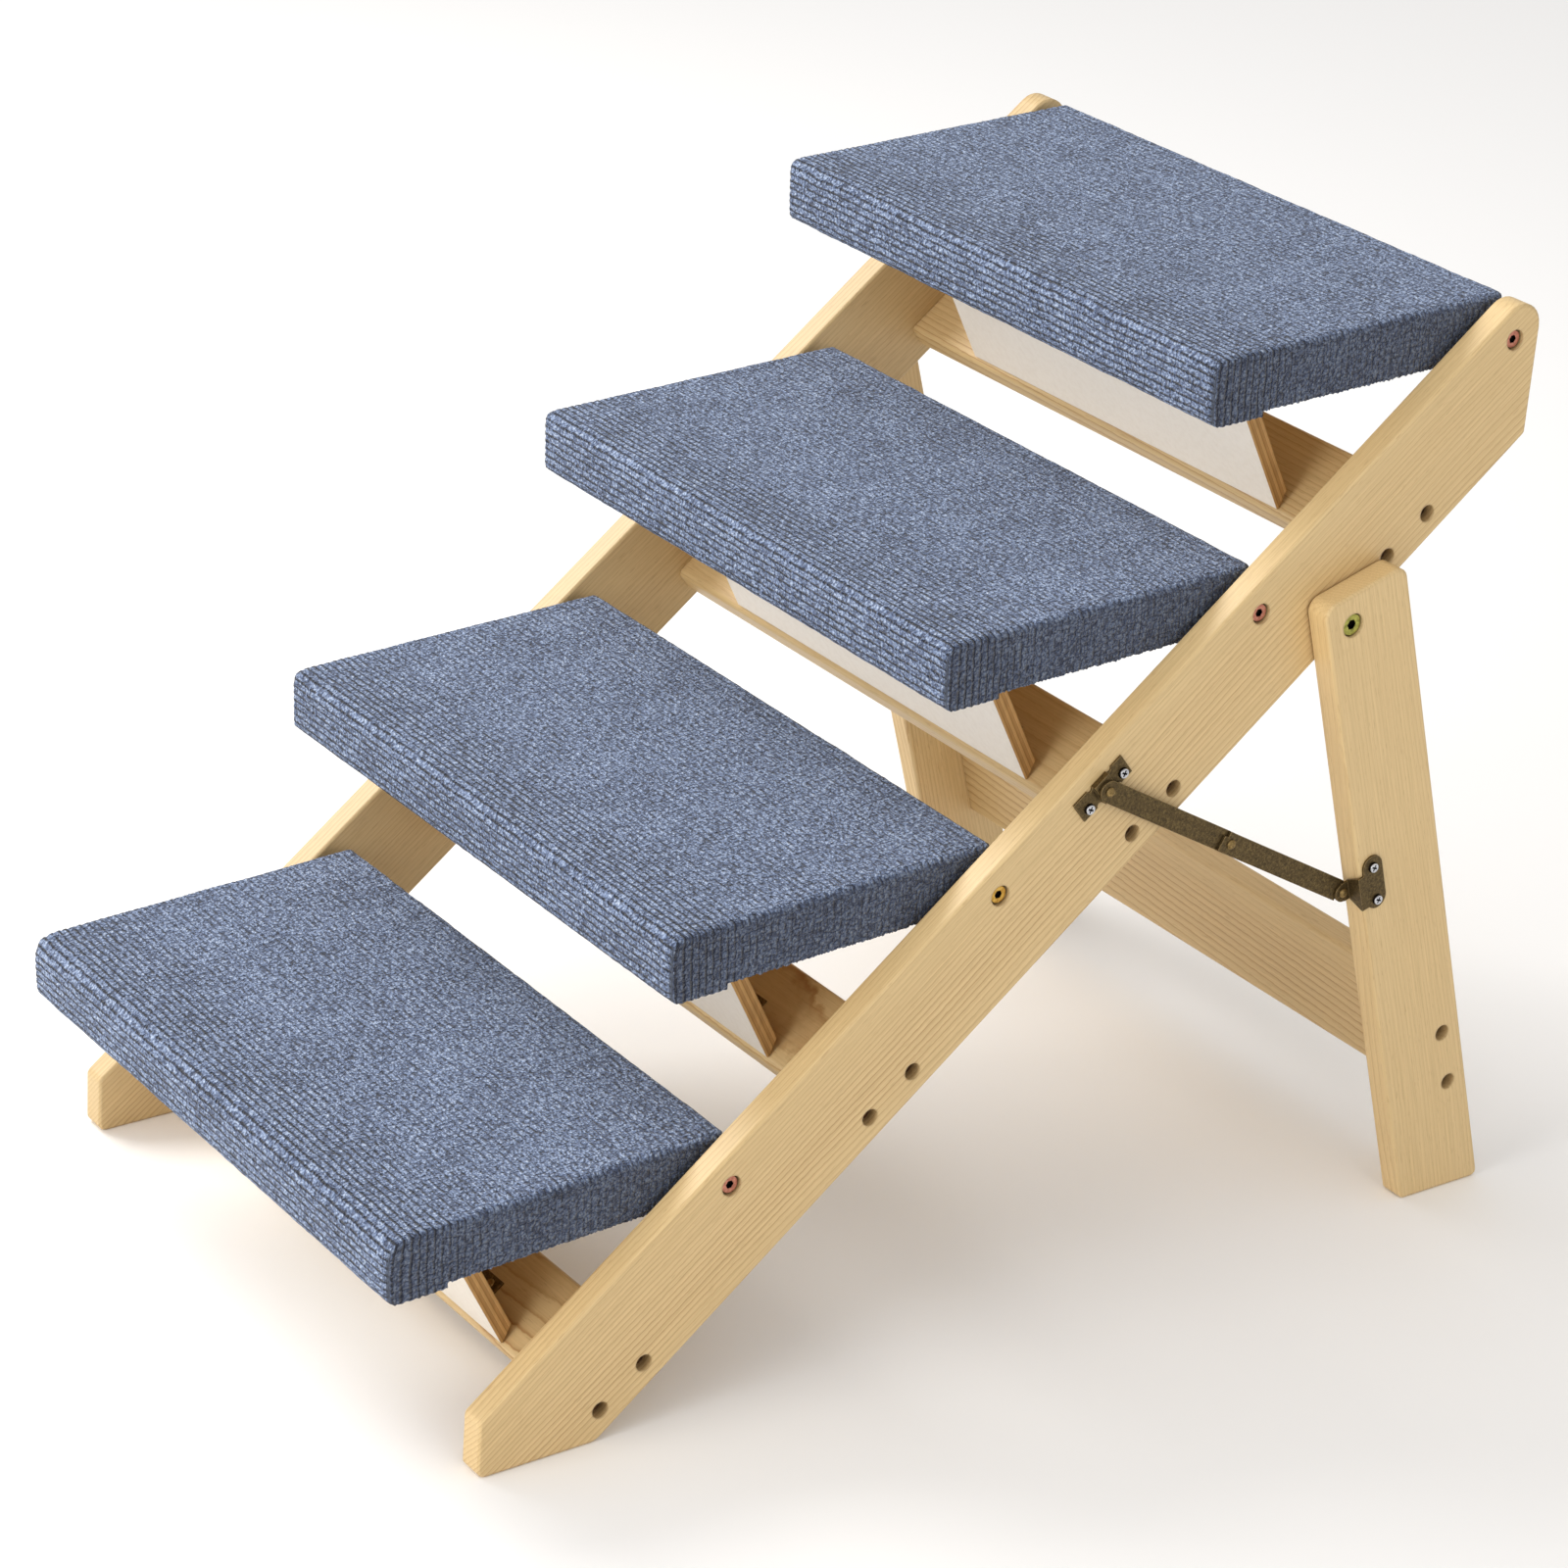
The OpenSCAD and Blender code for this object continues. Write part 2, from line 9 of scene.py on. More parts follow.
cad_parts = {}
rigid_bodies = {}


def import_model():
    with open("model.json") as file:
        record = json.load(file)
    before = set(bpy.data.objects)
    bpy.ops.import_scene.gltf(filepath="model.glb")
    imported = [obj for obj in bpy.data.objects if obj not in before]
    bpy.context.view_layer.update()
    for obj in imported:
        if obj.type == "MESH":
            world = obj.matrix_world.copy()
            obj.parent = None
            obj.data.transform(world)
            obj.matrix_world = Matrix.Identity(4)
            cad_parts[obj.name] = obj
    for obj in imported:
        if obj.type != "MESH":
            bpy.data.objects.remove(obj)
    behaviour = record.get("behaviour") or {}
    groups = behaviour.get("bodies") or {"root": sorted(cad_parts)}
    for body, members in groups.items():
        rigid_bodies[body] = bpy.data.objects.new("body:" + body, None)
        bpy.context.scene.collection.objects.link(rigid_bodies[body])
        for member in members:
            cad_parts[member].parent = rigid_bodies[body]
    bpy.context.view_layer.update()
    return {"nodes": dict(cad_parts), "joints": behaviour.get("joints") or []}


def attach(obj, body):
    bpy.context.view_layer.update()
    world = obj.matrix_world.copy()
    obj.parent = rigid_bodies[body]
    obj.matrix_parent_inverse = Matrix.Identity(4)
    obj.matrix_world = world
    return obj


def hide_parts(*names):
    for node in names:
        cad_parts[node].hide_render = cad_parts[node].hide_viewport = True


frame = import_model()
nodes = frame["nodes"]

AXES = {j["name"]: j["pos_m"] for j in frame["joints"]}


def pivot(k):
    """Tread k's pivot in the side view: x and z."""
    x, _, z = AXES[f"tread_{k}_tilt"]
    return x, z


# the rails' slope, the treads' tilt, and the lean of the legs and of the flaps
SLOPE = math.atan2(pivot(4)[1] - pivot(1)[1], pivot(4)[0] - pivot(1)[0])
TILT = math.radians(2.59)
LEAN = math.radians(16.85)
FLAP = math.radians(28)
# a flap's foot: forward of its tread's pivot along the rail, and below it
FOOT = (0.1385, 0.03265)
# the carpet's ribs and the knots along them, in metres, and each tread's nose radius in millimetres
RIB = 0.0045
KNOT = 0.0036
NOSE = (15.0, 10.0, 9.0, 9.0)
# cells of the carpet's mesh across one rib, and a cell's length in millimetres
RIB_CELLS = 5
CELL = 0.9
# how closely the year rings lie in the long boards and in the crossbars
RINGS = 135.0
CROSS_RINGS = 92.0
# screen colours, 0 to 255
PINE_PALE = (234, 207, 155)
PINE_WARM = (228, 198, 143)
PINE_LATE = (186, 140, 86)
PINE_DASH = (172, 132, 86)
RECESS_SHADE = (96, 62, 34)
BRONZE = ((56, 45, 25), (88, 72, 42), (118, 99, 60))
BRONZE_SPECK = (150, 128, 90)
BRONZE_WORN_LIT = (176, 150, 104)
SOCKET_SHADE = (30, 24, 20)
# the lacquer takes a little off the bare wood's tone, and painted shade darkens recesses within this reach
LACQUER = 0.955
RECESS_REACH = 0.007
# one layer of the flap's plywood
PLY = 0.0041


def lin(r, g, b):
    """A screen colour, 0 to 255, as Blender's linear colour."""
    def channel(c):
        return c / 255 / 12.92 if c <= 10 else ((c / 255 + 0.055) / 1.055) ** 2.4
    return channel(r), channel(g), channel(b), 1.0


def toned(rgb, tone):
    """A screen colour, made lighter or darker, as a linear colour."""
    return lin(*(c * tone for c in rgb))


class Mat:
    """A small helper that builds a node material."""

    def __init__(self, name, rough=0.5, metal=0.0):
        self.m = bpy.data.materials.new(name)
        self.m.use_nodes = True
        self.t = self.m.node_tree
        self.b = self.t.nodes["Principled BSDF"]
        self.b.inputs["Roughness"].default_value = rough
        self.b.inputs["Metallic"].default_value = metal
        self.coord = self.new("ShaderNodeTexCoord")

    def new(self, kind, **props):
        n = self.t.nodes.new(kind)
        for k, v in props.items():
            setattr(n, k, v)
        return n

    def link(self, a, b):
        self.t.links.new(a, b)

    def put(self, node, name, value):
        s = node.inputs[name]
        if hasattr(value, "is_output"):
            self.link(value, s)
        else:
            s.default_value = value

    def map(self, loc=(0, 0, 0), rot=(0, 0, 0), scale=(1, 1, 1), src=None):
        n = self.new("ShaderNodeMapping")
        n.inputs["Location"].default_value = loc
        n.inputs["Rotation"].default_value = rot
        n.inputs["Scale"].default_value = scale
        self.link(src or self.coord.outputs["Object"], n.inputs["Vector"])
        return n.outputs["Vector"]

    def noise(self, vec, scale, detail=2.0, rough=0.5, dist=0.0):
        n = self.new("ShaderNodeTexNoise")
        self.link(vec, n.inputs["Vector"])
        for k, v in (("Scale", scale), ("Detail", detail), ("Roughness", rough), ("Distortion", dist)):
            n.inputs[k].default_value = v
        return n.outputs["Fac"]

    def ramp(self, fac, stops):
        n = self.new("ShaderNodeValToRGB")
        e = n.color_ramp.elements
        while len(e) < len(stops):
            e.new(0.5)
        for i, (p, c) in enumerate(stops):
            e[i].position = p
            e[i].color = c if hasattr(c, "__len__") else (c, c, c, 1)
        self.link(fac, n.inputs["Fac"])
        return n.outputs["Color"]

    def math(self, op, a, b=0.0):
        n = self.new("ShaderNodeMath", operation=op)
        for i, v in enumerate((a, b)):
            self.put(n, i, v)
        return n.outputs[0]

    def mix(self, fac, a, b, mode="MIX"):
        n = self.new("ShaderNodeMix", data_type="RGBA", blend_type=mode)
        self.put(n, 0, fac)
        self.put(n, 6, a)
        self.put(n, 7, b)
        return n.outputs[2]

    def color(self, c):
        self.put(self.b, "Base Color", c)

    def rough(self, r):
        self.put(self.b, "Roughness", r)

    def bump(self, height, strength, distance, bevel=0.0):
        n = self.new("ShaderNodeBump")
        n.inputs["Strength"].default_value = strength
        n.inputs["Distance"].default_value = distance
        self.link(height, n.inputs["Height"])
        if bevel:
            v = self.new("ShaderNodeBevel", samples=4)
            v.inputs["Radius"].default_value = bevel
            self.link(v.outputs["Normal"], n.inputs["Normal"])
        self.link(n.outputs["Normal"], self.b.inputs["Normal"])


def pine(name, rot, loc, tone, cut, spread, rings):
    """Lacquered pine. rot turns the board so that its grain runs along X, and cut tilts and
    shifts the axis that its year rings lie about."""
    m = Mat(name, 0.40)
    v = m.map(loc, rot)
    # slow wander of the grain, and year rings about an axis a little off the board's own
    wander = m.noise(m.map(scale=(2.0, 7, 7), src=v), 1.0, 2.0, 0.5)
    comb = m.new("ShaderNodeCombineXYZ")
    for i in range(3):
        m.link(wander, comb.inputs[i])
    off = m.new("ShaderNodeVectorMath", operation="MULTIPLY_ADD")
    m.link(comb.outputs[0], off.inputs[0])
    off.inputs[1].default_value = (0.0, 0.018, 0.018)
    m.link(m.map(loc=(0, cut[1], cut[2]), rot=(0, cut[0], 0.02), src=v), off.inputs[2])
    ring = m.new("ShaderNodeTexWave", wave_type="RINGS", rings_direction="X", wave_profile="SAW")
    m.link(off.outputs[0], ring.inputs["Vector"])
    for k, x in (("Scale", rings), ("Distortion", 0.9), ("Detail", 2.0), ("Detail Scale", 1.6)):
        ring.inputs[k].default_value = x
    late = m.ramp(ring.outputs["Fac"], [(0.40, 0.0), (0.78, 0.28), (0.93, 1.0), (1.0, 0.15)])
    # how strongly the rings show differs over the board
    show = m.ramp(m.noise(m.map(scale=(0.8, 17, 17), src=v), 1.0, 1.0),
                  [(spread - 0.12, 0.24), (spread + 0.12, 0.95)])
    fibre = m.noise(m.map(scale=(16, 1000, 1000), src=v), 1.0, 3.0, 0.62)
    dash = m.noise(m.map(scale=(110, 1500, 1500), src=v), 1.0, 1.0, 0.5)
    broad = m.noise(m.map(scale=(3, 20, 20), src=v), 1.0, 2.0)
    t = tone * LACQUER
    base = m.mix(broad, toned(PINE_PALE, t), toned(PINE_WARM, t))
    ringed = m.mix(m.math("MULTIPLY", late, show), base, toned(PINE_LATE, t))
    streak = m.ramp(fibre, [(0.3, (0.88, 0.85, 0.80, 1)), (0.7, (1.04, 1.03, 1.02, 1))])
    col = m.mix(1.0, ringed, streak, "MULTIPLY")
    col = m.mix(m.ramp(dash, [(0.64, 0.0), (0.72, 0.35)]), col, toned(PINE_DASH, t))
    # painted shade: the wood's own hollows, such as the bolt holes, are painted dark brown by how closed
    # in they are
    shade = m.new("ShaderNodeAmbientOcclusion", samples=4, only_local=True)
    shade.inputs["Distance"].default_value = RECESS_REACH
    painted_shade = m.ramp(shade.outputs["AO"], [(0.30, 0.9), (0.82, 0.0)])
    m.color(m.mix(painted_shade, col, lin(*RECESS_SHADE)))
    m.rough(m.ramp(fibre, [(0.2, 0.36), (0.8, 0.50)]))
    height = m.math("ADD", m.math("MULTIPLY", fibre, 0.5), m.math("MULTIPLY", late, -0.12))
    m.bump(height, 0.12, 0.0003, 0.0022)
    return m.m


def plain_wood(name):
    """Bare plywood, seen on the treads' undersides."""
    m = Mat(name, 0.62)
    v = m.map(rot=(0, 0, math.pi / 2))
    fibre = m.noise(m.map(scale=(10, 260, 260), src=v), 1.0, 3.0, 0.6)
    broad = m.noise(m.map(scale=(2, 12, 12), src=v), 1.0, 2.0)
    base = m.mix(broad, lin(216, 184, 132), lin(200, 164, 110))
    m.color(m.mix(m.ramp(fibre, [(0.35, 0.0), (0.75, 0.55)]), base, lin(170, 128, 78)))
    m.bump(fibre, 0.25, 0.0004, 0.001)
    return m.m


def faced_board(name, k):
    """A flap: white laminate on its front, plywood layers on its edges, bare veneer behind."""
    m = Mat(name, 0.42)
    x, z = pivot(k)
    fx = x - FOOT[0] * math.cos(SLOPE) + FOOT[1] * math.sin(SLOPE)
    fz = z - FOOT[0] * math.sin(SLOPE) - FOOT[1] * math.cos(SLOPE)
    nrm = (math.cos(FLAP), 0.0, math.sin(FLAP))
    facing = m.new("ShaderNodeVectorMath", operation="DOT_PRODUCT")
    m.link(m.coord.outputs["Normal"], facing.inputs[0])
    facing.inputs[1].default_value = nrm
    is_front = m.math("LESS_THAN", facing.outputs["Value"], -0.93)
    is_rear = m.math("GREATER_THAN", facing.outputs["Value"], 0.93)
    # depth through the board from its front face, in layers
    depth = m.new("ShaderNodeVectorMath", operation="DOT_PRODUCT")
    m.link(m.map(loc=(-fx, 0, -fz)), depth.inputs[0])
    depth.inputs[1].default_value = nrm
    wob = m.noise(m.map(scale=(30, 30, 30)), 1.0, 1.0)
    d = m.math("ADD", depth.outputs["Value"], m.math("MULTIPLY", wob, 0.0006))
    layer = m.math("FRACT", m.math("MULTIPLY", d, 1 / PLY))
    grain = m.noise(m.map(rot=(0, -FLAP, 0), scale=(240, 60, 60)), 1.0, 3.0, 0.6)
    ply = m.ramp(layer, [(0.0, lin(214, 178, 124)), (0.42, lin(206, 168, 112)), (0.5, lin(158, 118, 70)),
                         (0.6, lin(186, 146, 94)), (0.93, lin(194, 154, 100)), (1.0, lin(150, 110, 64))])
    pores = m.ramp(grain, [(0.3, (0.74, 0.71, 0.66, 1)), (0.7, (1.1, 1.08, 1.05, 1))])
    ply = m.mix(0.6, ply, pores, "MULTIPLY")
    figure = m.noise(m.map(scale=(40, 6, 300)), 1.0, 3.0, 0.6)
    veneer = m.mix(figure, lin(206, 172, 120), lin(186, 148, 96))
    speck = m.noise(m.map(), 260.0, 2.0, 0.6)
    white = m.mix(m.ramp(speck, [(0.4, 0.0), (0.75, 0.5)]), lin(238, 231, 220), lin(228, 219, 206))
    m.color(m.mix(is_front, m.mix(is_rear, ply, veneer), white))
    m.rough(m.mix(is_front, (0.6, 0.6, 0.6, 1), (0.36, 0.36, 0.36, 1)))
    m.bump(m.math("ADD", m.math("MULTIPLY", grain, 0.6), speck), 0.12, 0.0003, 0.0006)
    return m.m


def bronze(name, lift=1.0):
    """Antique bronze: brown, finely mottled, and painted lighter along its edges, as wear and as a painted
    highlight.
    """
    m = Mat(name, 0.42, 0.75)
    a = m.noise(m.map(), 620.0, 4.0, 0.72, 0.4)
    b = m.noise(m.map(), 1500.0, 2.0, 0.6)
    col = m.ramp(a, [(at, toned(rgb, lift)) for at, rgb in zip((0.30, 0.5, 0.70), BRONZE)])
    col = m.mix(m.ramp(b, [(0.5, 0.0), (0.8, 0.35)]), col, toned(BRONZE_SPECK, lift))
    # painted highlight and wear: the colour turns lighter where the surface rounds over an edge
    edge = m.new("ShaderNodeBevel", samples=4)
    edge.inputs["Radius"].default_value = 0.0006
    turn = m.new("ShaderNodeVectorMath", operation="DOT_PRODUCT")
    m.link(edge.outputs["Normal"], turn.inputs[0])
    geo = m.new("ShaderNodeNewGeometry")
    m.link(geo.outputs["Normal"], turn.inputs[1])
    wear_and_highlight = m.ramp(turn.outputs["Value"], [(0.90, 0.75), (0.995, 0.0)])
    m.color(m.mix(wear_and_highlight, col, lin(*BRONZE_WORN_LIT)))
    m.rough(m.ramp(a, [(0.3, 0.52), (0.7, 0.36)]))
    m.bump(b, 0.2, 0.0003, 0.0005)
    return m.m


def plated(name, light, dark, metal, rough, face=None):
    """Plated steel with faint turning marks. With face, how far out the head's face is, the recess below
    that face is painted dark as painted shade."""
    m = Mat(name, rough, metal)
    a = m.noise(m.map(), 420.0, 3.0, 0.6)
    b = m.noise(m.map(scale=(1, 0.15, 1)), 2400.0, 2.0, 0.5)
    col = m.mix(m.ramp(a, [(0.35, 0.0), (0.7, 1.0)]), light, dark)
    if face:
        # painted shade: below the head's face, the socket and the recess are painted nearly black
        place = m.new("ShaderNodeSeparateXYZ")
        m.link(m.coord.outputs["Object"], place.inputs[0])
        deep = m.math("SUBTRACT", face, m.math("ABSOLUTE", place.outputs["Y"]))
        painted_shade = m.ramp(m.math("MULTIPLY", deep, 1000.0), [(0.25, 0.0), (0.55, 1.0)])
        col = m.mix(painted_shade, col, lin(*SOCKET_SHADE))
    m.color(col)
    m.rough(m.ramp(b, [(0.3, rough), (0.8, rough + 0.18)]))
    m.bump(b, 0.15, 0.0002, 0.0004)
    return m.m


def carpet(name, k):
    """Heathered ribbed carpet. The mesh's attribute pile holds the place across the ribs and
    along them, in metres, and how strongly the ribs show."""
    m = Mat(name, 0.95)
    m.b.inputs["Specular IOR Level"].default_value = 0.1
    m.b.inputs["Sheen Weight"].default_value = 0.22
    m.b.inputs["Sheen Roughness"].default_value = 0.6
    at = m.new("ShaderNodeAttribute", attribute_name="pile")
    pile = m.map(loc=(0.37 * k, 0.11 * k, 0), scale=(1, 1, 0), src=at.outputs["Vector"])
    own = m.new("ShaderNodeSeparateXYZ")
    m.link(at.outputs["Vector"], own.inputs[0])
    # the lane between two ribs wanders a little along the tread
    sway = m.noise(m.map(scale=(0.3, 1, 1), src=pile), 55.0, 2.0, 0.6)
    lane = m.math("ADD", m.math("MULTIPLY", own.outputs["X"], 1 / RIB), m.math("MULTIPLY", sway, 0.5))
    near = m.math("ABSOLUTE", m.math("SUBTRACT", m.math("FRACT", m.math("ADD", lane, 0.25)), 0.5))
    groove = m.ramp(near, [(0.30, 0.0), (0.46, 1.0)])
    gaps = m.ramp(m.noise(m.map(scale=(0.6, 1, 1), src=pile), 240.0, 2.0, 0.6), [(0.25, 0.4), (0.5, 1.0)])
    fade = m.ramp(own.outputs["Z"], [(0.0, 0.35), (1.0, 1.0)])
    groove = m.math("MULTIPLY", m.math("MULTIPLY", groove, gaps), fade)
    # knots of yarn, one after another along each rib
    knot = m.new("ShaderNodeTexVoronoi", feature="DISTANCE_TO_EDGE")
    m.link(m.map(scale=(1 / RIB, 1 / KNOT, 0), src=at.outputs["Vector"]), knot.inputs["Vector"])
    knot.inputs["Scale"].default_value = 1.0
    knot.inputs["Randomness"].default_value = 0.55
    seam = m.ramp(knot.outputs["Distance"], [(0.02, 1.0), (0.20, 0.0)])
    # loops, a little longer along the rib than across it, each painted darker towards its edge as painted
    # shade
    cells = m.new("ShaderNodeTexVoronoi", feature="F1")
    m.link(m.map(scale=(1.0, 0.8, 1.0), src=pile), cells.inputs["Vector"])
    cells.inputs["Scale"].default_value = 560.0
    loop = m.ramp(cells.outputs["Distance"], [(0.15, 1.0), (0.62, 0.0)])
    yarn = m.noise(m.map(scale=(1.0, 0.7, 1.0), src=pile), 330.0, 2.0, 0.6, 0.6)
    fine = m.noise(pile, 1150.0, 2.0, 0.6, 0.4)
    broad = m.noise(pile, 26.0, 3.0, 0.55)
    mixed = m.math("ADD", m.math("MULTIPLY", yarn, 0.36), m.math("MULTIPLY", fine, 0.46))
    mixed = m.math("ADD", mixed, m.math("MULTIPLY", loop, 0.20))
    # painted shade: the seams between the knots are painted a little darker
    mixed = m.math("SUBTRACT", mixed, m.math("MULTIPLY", seam, 0.07))
    mixed = m.math("ADD", mixed, m.math("MULTIPLY", m.math("SUBTRACT", broad, 0.5), 0.12))
    # painted shade: the grooves between the ribs are painted darker, more so where the ribs are deep
    mixed = m.math("SUBTRACT", mixed, m.math("MULTIPLY", groove, 0.25))
    col = m.ramp(mixed, [(0.24, lin(28, 34, 48)), (0.36, lin(74, 88, 118)), (0.47, lin(130, 148, 182)),
                         (0.58, lin(170, 188, 218)), (0.70, lin(210, 222, 240))])
    warm = m.noise(pile, 620.0, 1.0, 0.5)
    col = m.mix(m.ramp(warm, [(0.68, 0.0), (0.78, 0.35)]), col, lin(112, 102, 112))
    # painted shade: the two ends are painted darker, where the pile is also stretched down over them
    face = m.new("ShaderNodeSeparateXYZ")
    m.link(m.coord.outputs["Normal"], face.inputs[0])
    end_shade = m.ramp(m.math("ABSOLUTE", face.outputs["Y"]), [(0.45, 0.0), (0.95, 0.64)])
    m.color(m.mix(end_shade, col, lin(34, 38, 54)))
    h = m.math("ADD", m.math("MULTIPLY", loop, 0.9), m.math("MULTIPLY", fine, 0.7))
    dip = m.math("MULTIPLY", m.math("ADD", groove, m.math("MULTIPLY", seam, 0.5)), 1.1)
    m.bump(m.math("SUBTRACT", h, dip), 0.9, 0.0014)
    return m.m


# ---- carpets: each a closed shell of its own, on a grid that follows the ribs
def disc(u, v):
    """The point of a quarter disc that a point of the unit square goes to."""
    u, v = np.clip(u, 0, 1), np.clip(v, 0, 1)
    return u * np.sqrt(1 - v * v / 2), v * np.sqrt(1 - u * u / 2)


def grid(*spans):
    """Grid lines through spans of (start, end, longest cell)."""
    out = [spans[0][0]]
    for lo, hi, cell in spans:
        n = max(1, round(abs(hi - lo) / cell))
        out += [lo + (hi - lo) * (i + 1) / n for i in range(n)]
    return np.array(out)


def soften(a, y, z, lo, hi, half, nose, toe, heel, brow):
    """Rounds a box's ends by brow, then its section: nose, toe and heel are the radii of its corners."""
    (a0, z0), (a1, z1) = lo, hi
    d = np.minimum.reduce([a - a0, a1 - a, z1 - z])
    e = half - np.abs(y)
    near = (d < brow) & (e < brow)
    u, v = disc(1 - d / brow, 1 - e / brow)
    d2 = np.where(near, brow * (1 - u), d)
    e2 = np.where(near, brow * (1 - v), e)
    ha = (a1 - a0) / 2
    a = np.where(near, a0 + ha + (a - a0 - ha) * (ha - d2) / np.maximum(ha - d, 1), a)
    z = np.where(near, z0 + (z - z0) * (z1 - z0 - d2) / np.maximum(z1 - z0 - d, 1), z)
    y = np.sign(y) * (half - e2)
    for r, front, top in ((nose, 1, 1), (toe, 1, 0), (heel, 0, 1)):
        p = a - a0 if front else a1 - a
        q = z1 - z if top else z - z0
        zone = (p < r) & (q < r)
        u, v = disc(1 - p / r, 1 - q / r)
        a = np.where(zone, a0 + r * (1 - u) if front else a1 - r * (1 - u), a)
        z = np.where(zone, z1 - r * (1 - v) if top else z0 + r * (1 - v), z)
    return a, y, z


def carpet_piece(k):
    """The carpet of tread k: over the top, down all four edges and turned under the front."""
    # millimetres in the tread's own frame: a runs back, z up, both from the pivot
    front, rear, turned, top, low, under = -196.0, 11.5, -160.0, 18.3, -16.45, -19.6
    half, nose, toe, heel, brow, thick = 194.35, NOSE[k - 1], 6.5, 3.5, 5.0, 3.2
    # the board's underside, which the turned-under strip and its step lie against
    seat, seat_low = -16.3, -16.15
    # the inside's own radii, and the mesh's cells near the ends, along the tread and below it
    inner_heel, inner_brow = 0.8, 1.6
    hem, hem_cell, long_cell, turn_cell = 6.0, 1.2, 5.0, 1.05
    bend = nose * math.pi / 4 / CELL
    a_line = grid((front, front + nose, nose / bend), (front + nose, turned, CELL), (turned, rear, CELL))
    y_line = grid((-half, hem - half, hem_cell), (hem - half, half - hem, long_cell),
                  (half - hem, half, hem_cell))
    z_line = grid((under, low, turn_cell), (low, top - nose, CELL), (top - nose, top, nose / bend))
    n_turned = int(np.argmin(np.abs(a_line - turned)))
    n_low = int(np.argmin(np.abs(z_line - low)))
    na, ny, nz = len(a_line) - 1, len(y_line) - 1, len(z_line) - 1
    ids = -np.ones((na + 1, ny + 1, nz + 1), int)
    quads = []

    def face(i, j, kk, du, dv):
        """Quads over index arrays i, j, kk, one cell along du and dv."""
        c = np.stack([i, j, kk], -1)
        quads.append(np.stack([c, c + du, c + du + dv, c + dv], 1))

    def cells(p, q):
        g = np.meshgrid(p, q, indexing="ij")
        return g[0].ravel(), g[1].ravel()

    ai, aj, ak = np.array([1, 0, 0]), np.array([0, 1, 0]), np.array([0, 0, 1])
    i, j = cells(range(na), range(ny))
    face(i, j, 0 * i + nz, ai, aj)
    i, j = cells(range(n_turned), range(ny))
    face(i, j, 0 * i, aj, ai)
    j, q = cells(range(ny), range(nz))
    face(0 * j, j, q, ak, aj)
    j, q = cells(range(ny), range(n_low, nz))
    face(0 * j + na, j, q, aj, ak)
    i, q = cells(range(na), range(nz))
    keep = (q >= n_low) | (i < n_turned)
    i, q = i[keep], q[keep]
    face(i, 0 * i, q, ai, ak)
    face(i, 0 * i + ny, q, ak, ai)
    quads = np.concatenate(quads)
    used = np.unique(quads.reshape(-1, 3), axis=0)
    n = len(used)
    ids[used[:, 0], used[:, 1], used[:, 2]] = np.arange(n)
    q_outer = ids[quads[..., 0], quads[..., 1], quads[..., 2]]
    iu, ju, ku = used.T
    a, y, z = a_line[iu], y_line[ju], z_line[ku]

    # across the ribs, counted in cells along the surface from the front top edge
    across = iu.astype(float)
    on_top, on_front = ku == nz, iu == 0
    on_under, on_rear = ku == 0, iu == na
    at_end = (ju == 0) | (ju == ny)
    across = np.where(on_front & ~on_top, -(nz - ku), across)
    across = np.where(on_under & ~on_front & ~at_end, -(nz + iu), across)
    across = np.where(on_rear & ~on_top & ~at_end, na + (nz - ku), across)
    along = np.where(at_end, np.sign(y) * (half + top - z), y)

    oa, oy, oz = soften(a, y, z, (front, under), (rear, top), half, nose, toe, heel, brow)
    # inside, the shell lies against the board
    ia = np.interp(a, [front, turned, rear], [front + thick, turned, rear - thick])
    iy = y * (half - thick) / half
    iz = np.interp(z, [under, low, top], [seat, seat_low, top - thick])
    ia, iy, iz = soften(ia, iy, iz, (front + thick, seat), (rear - thick, top - thick),
                        half - thick, nose - thick, toe - thick, inner_heel, inner_brow)

    # the pile: ribs of five cells, deepest round the nose, on a slow unevenness
    rng = np.random.default_rng(40 + k)
    waves = 12
    slow = sum(np.sin(f * a + g * y + h * z + p) for f, g, h, p in
               zip(rng.uniform(0.02, 0.16, waves), rng.uniform(-0.14, 0.14, waves),
                   rng.uniform(-0.1, 0.1, waves), rng.uniform(0, 6.28, waves))) / waves
    crest = np.array([0.0, 0.72, 1.0, 1.0, 0.72])[np.mod(across, RIB_CELLS).astype(int)]
    # the cell where the ribs have faded by half, and how many cells the fade takes
    fade_at, fade_over = 42, 14
    strong = 1 / (1 + np.exp((across - fade_at) / fade_over))
    lift = (0.16 + 0.34 * strong) * (crest - 0.7) + 0.35 * slow
    lift = lift + 0.10 * rng.standard_normal(n)
    rim = ~on_top & ~on_front & ((ku == n_low) | (on_under & (iu == n_turned)))
    oz = oz + np.where(rim & (iu > n_turned), 0.35 * rng.standard_normal(n), 0)
    outer = np.stack([oa, oy, oz], -1)
    p = outer[q_outer]
    fn = np.cross(p[:, 2] - p[:, 0], p[:, 3] - p[:, 1])
    vn = np.zeros((n, 3))
    for c in range(4):
        np.add.at(vn, q_outer[:, c], fn)
    vn /= np.linalg.norm(vn, axis=1)[:, None] + 1e-12
    outer = outer + vn * (lift * ~rim)[:, None]

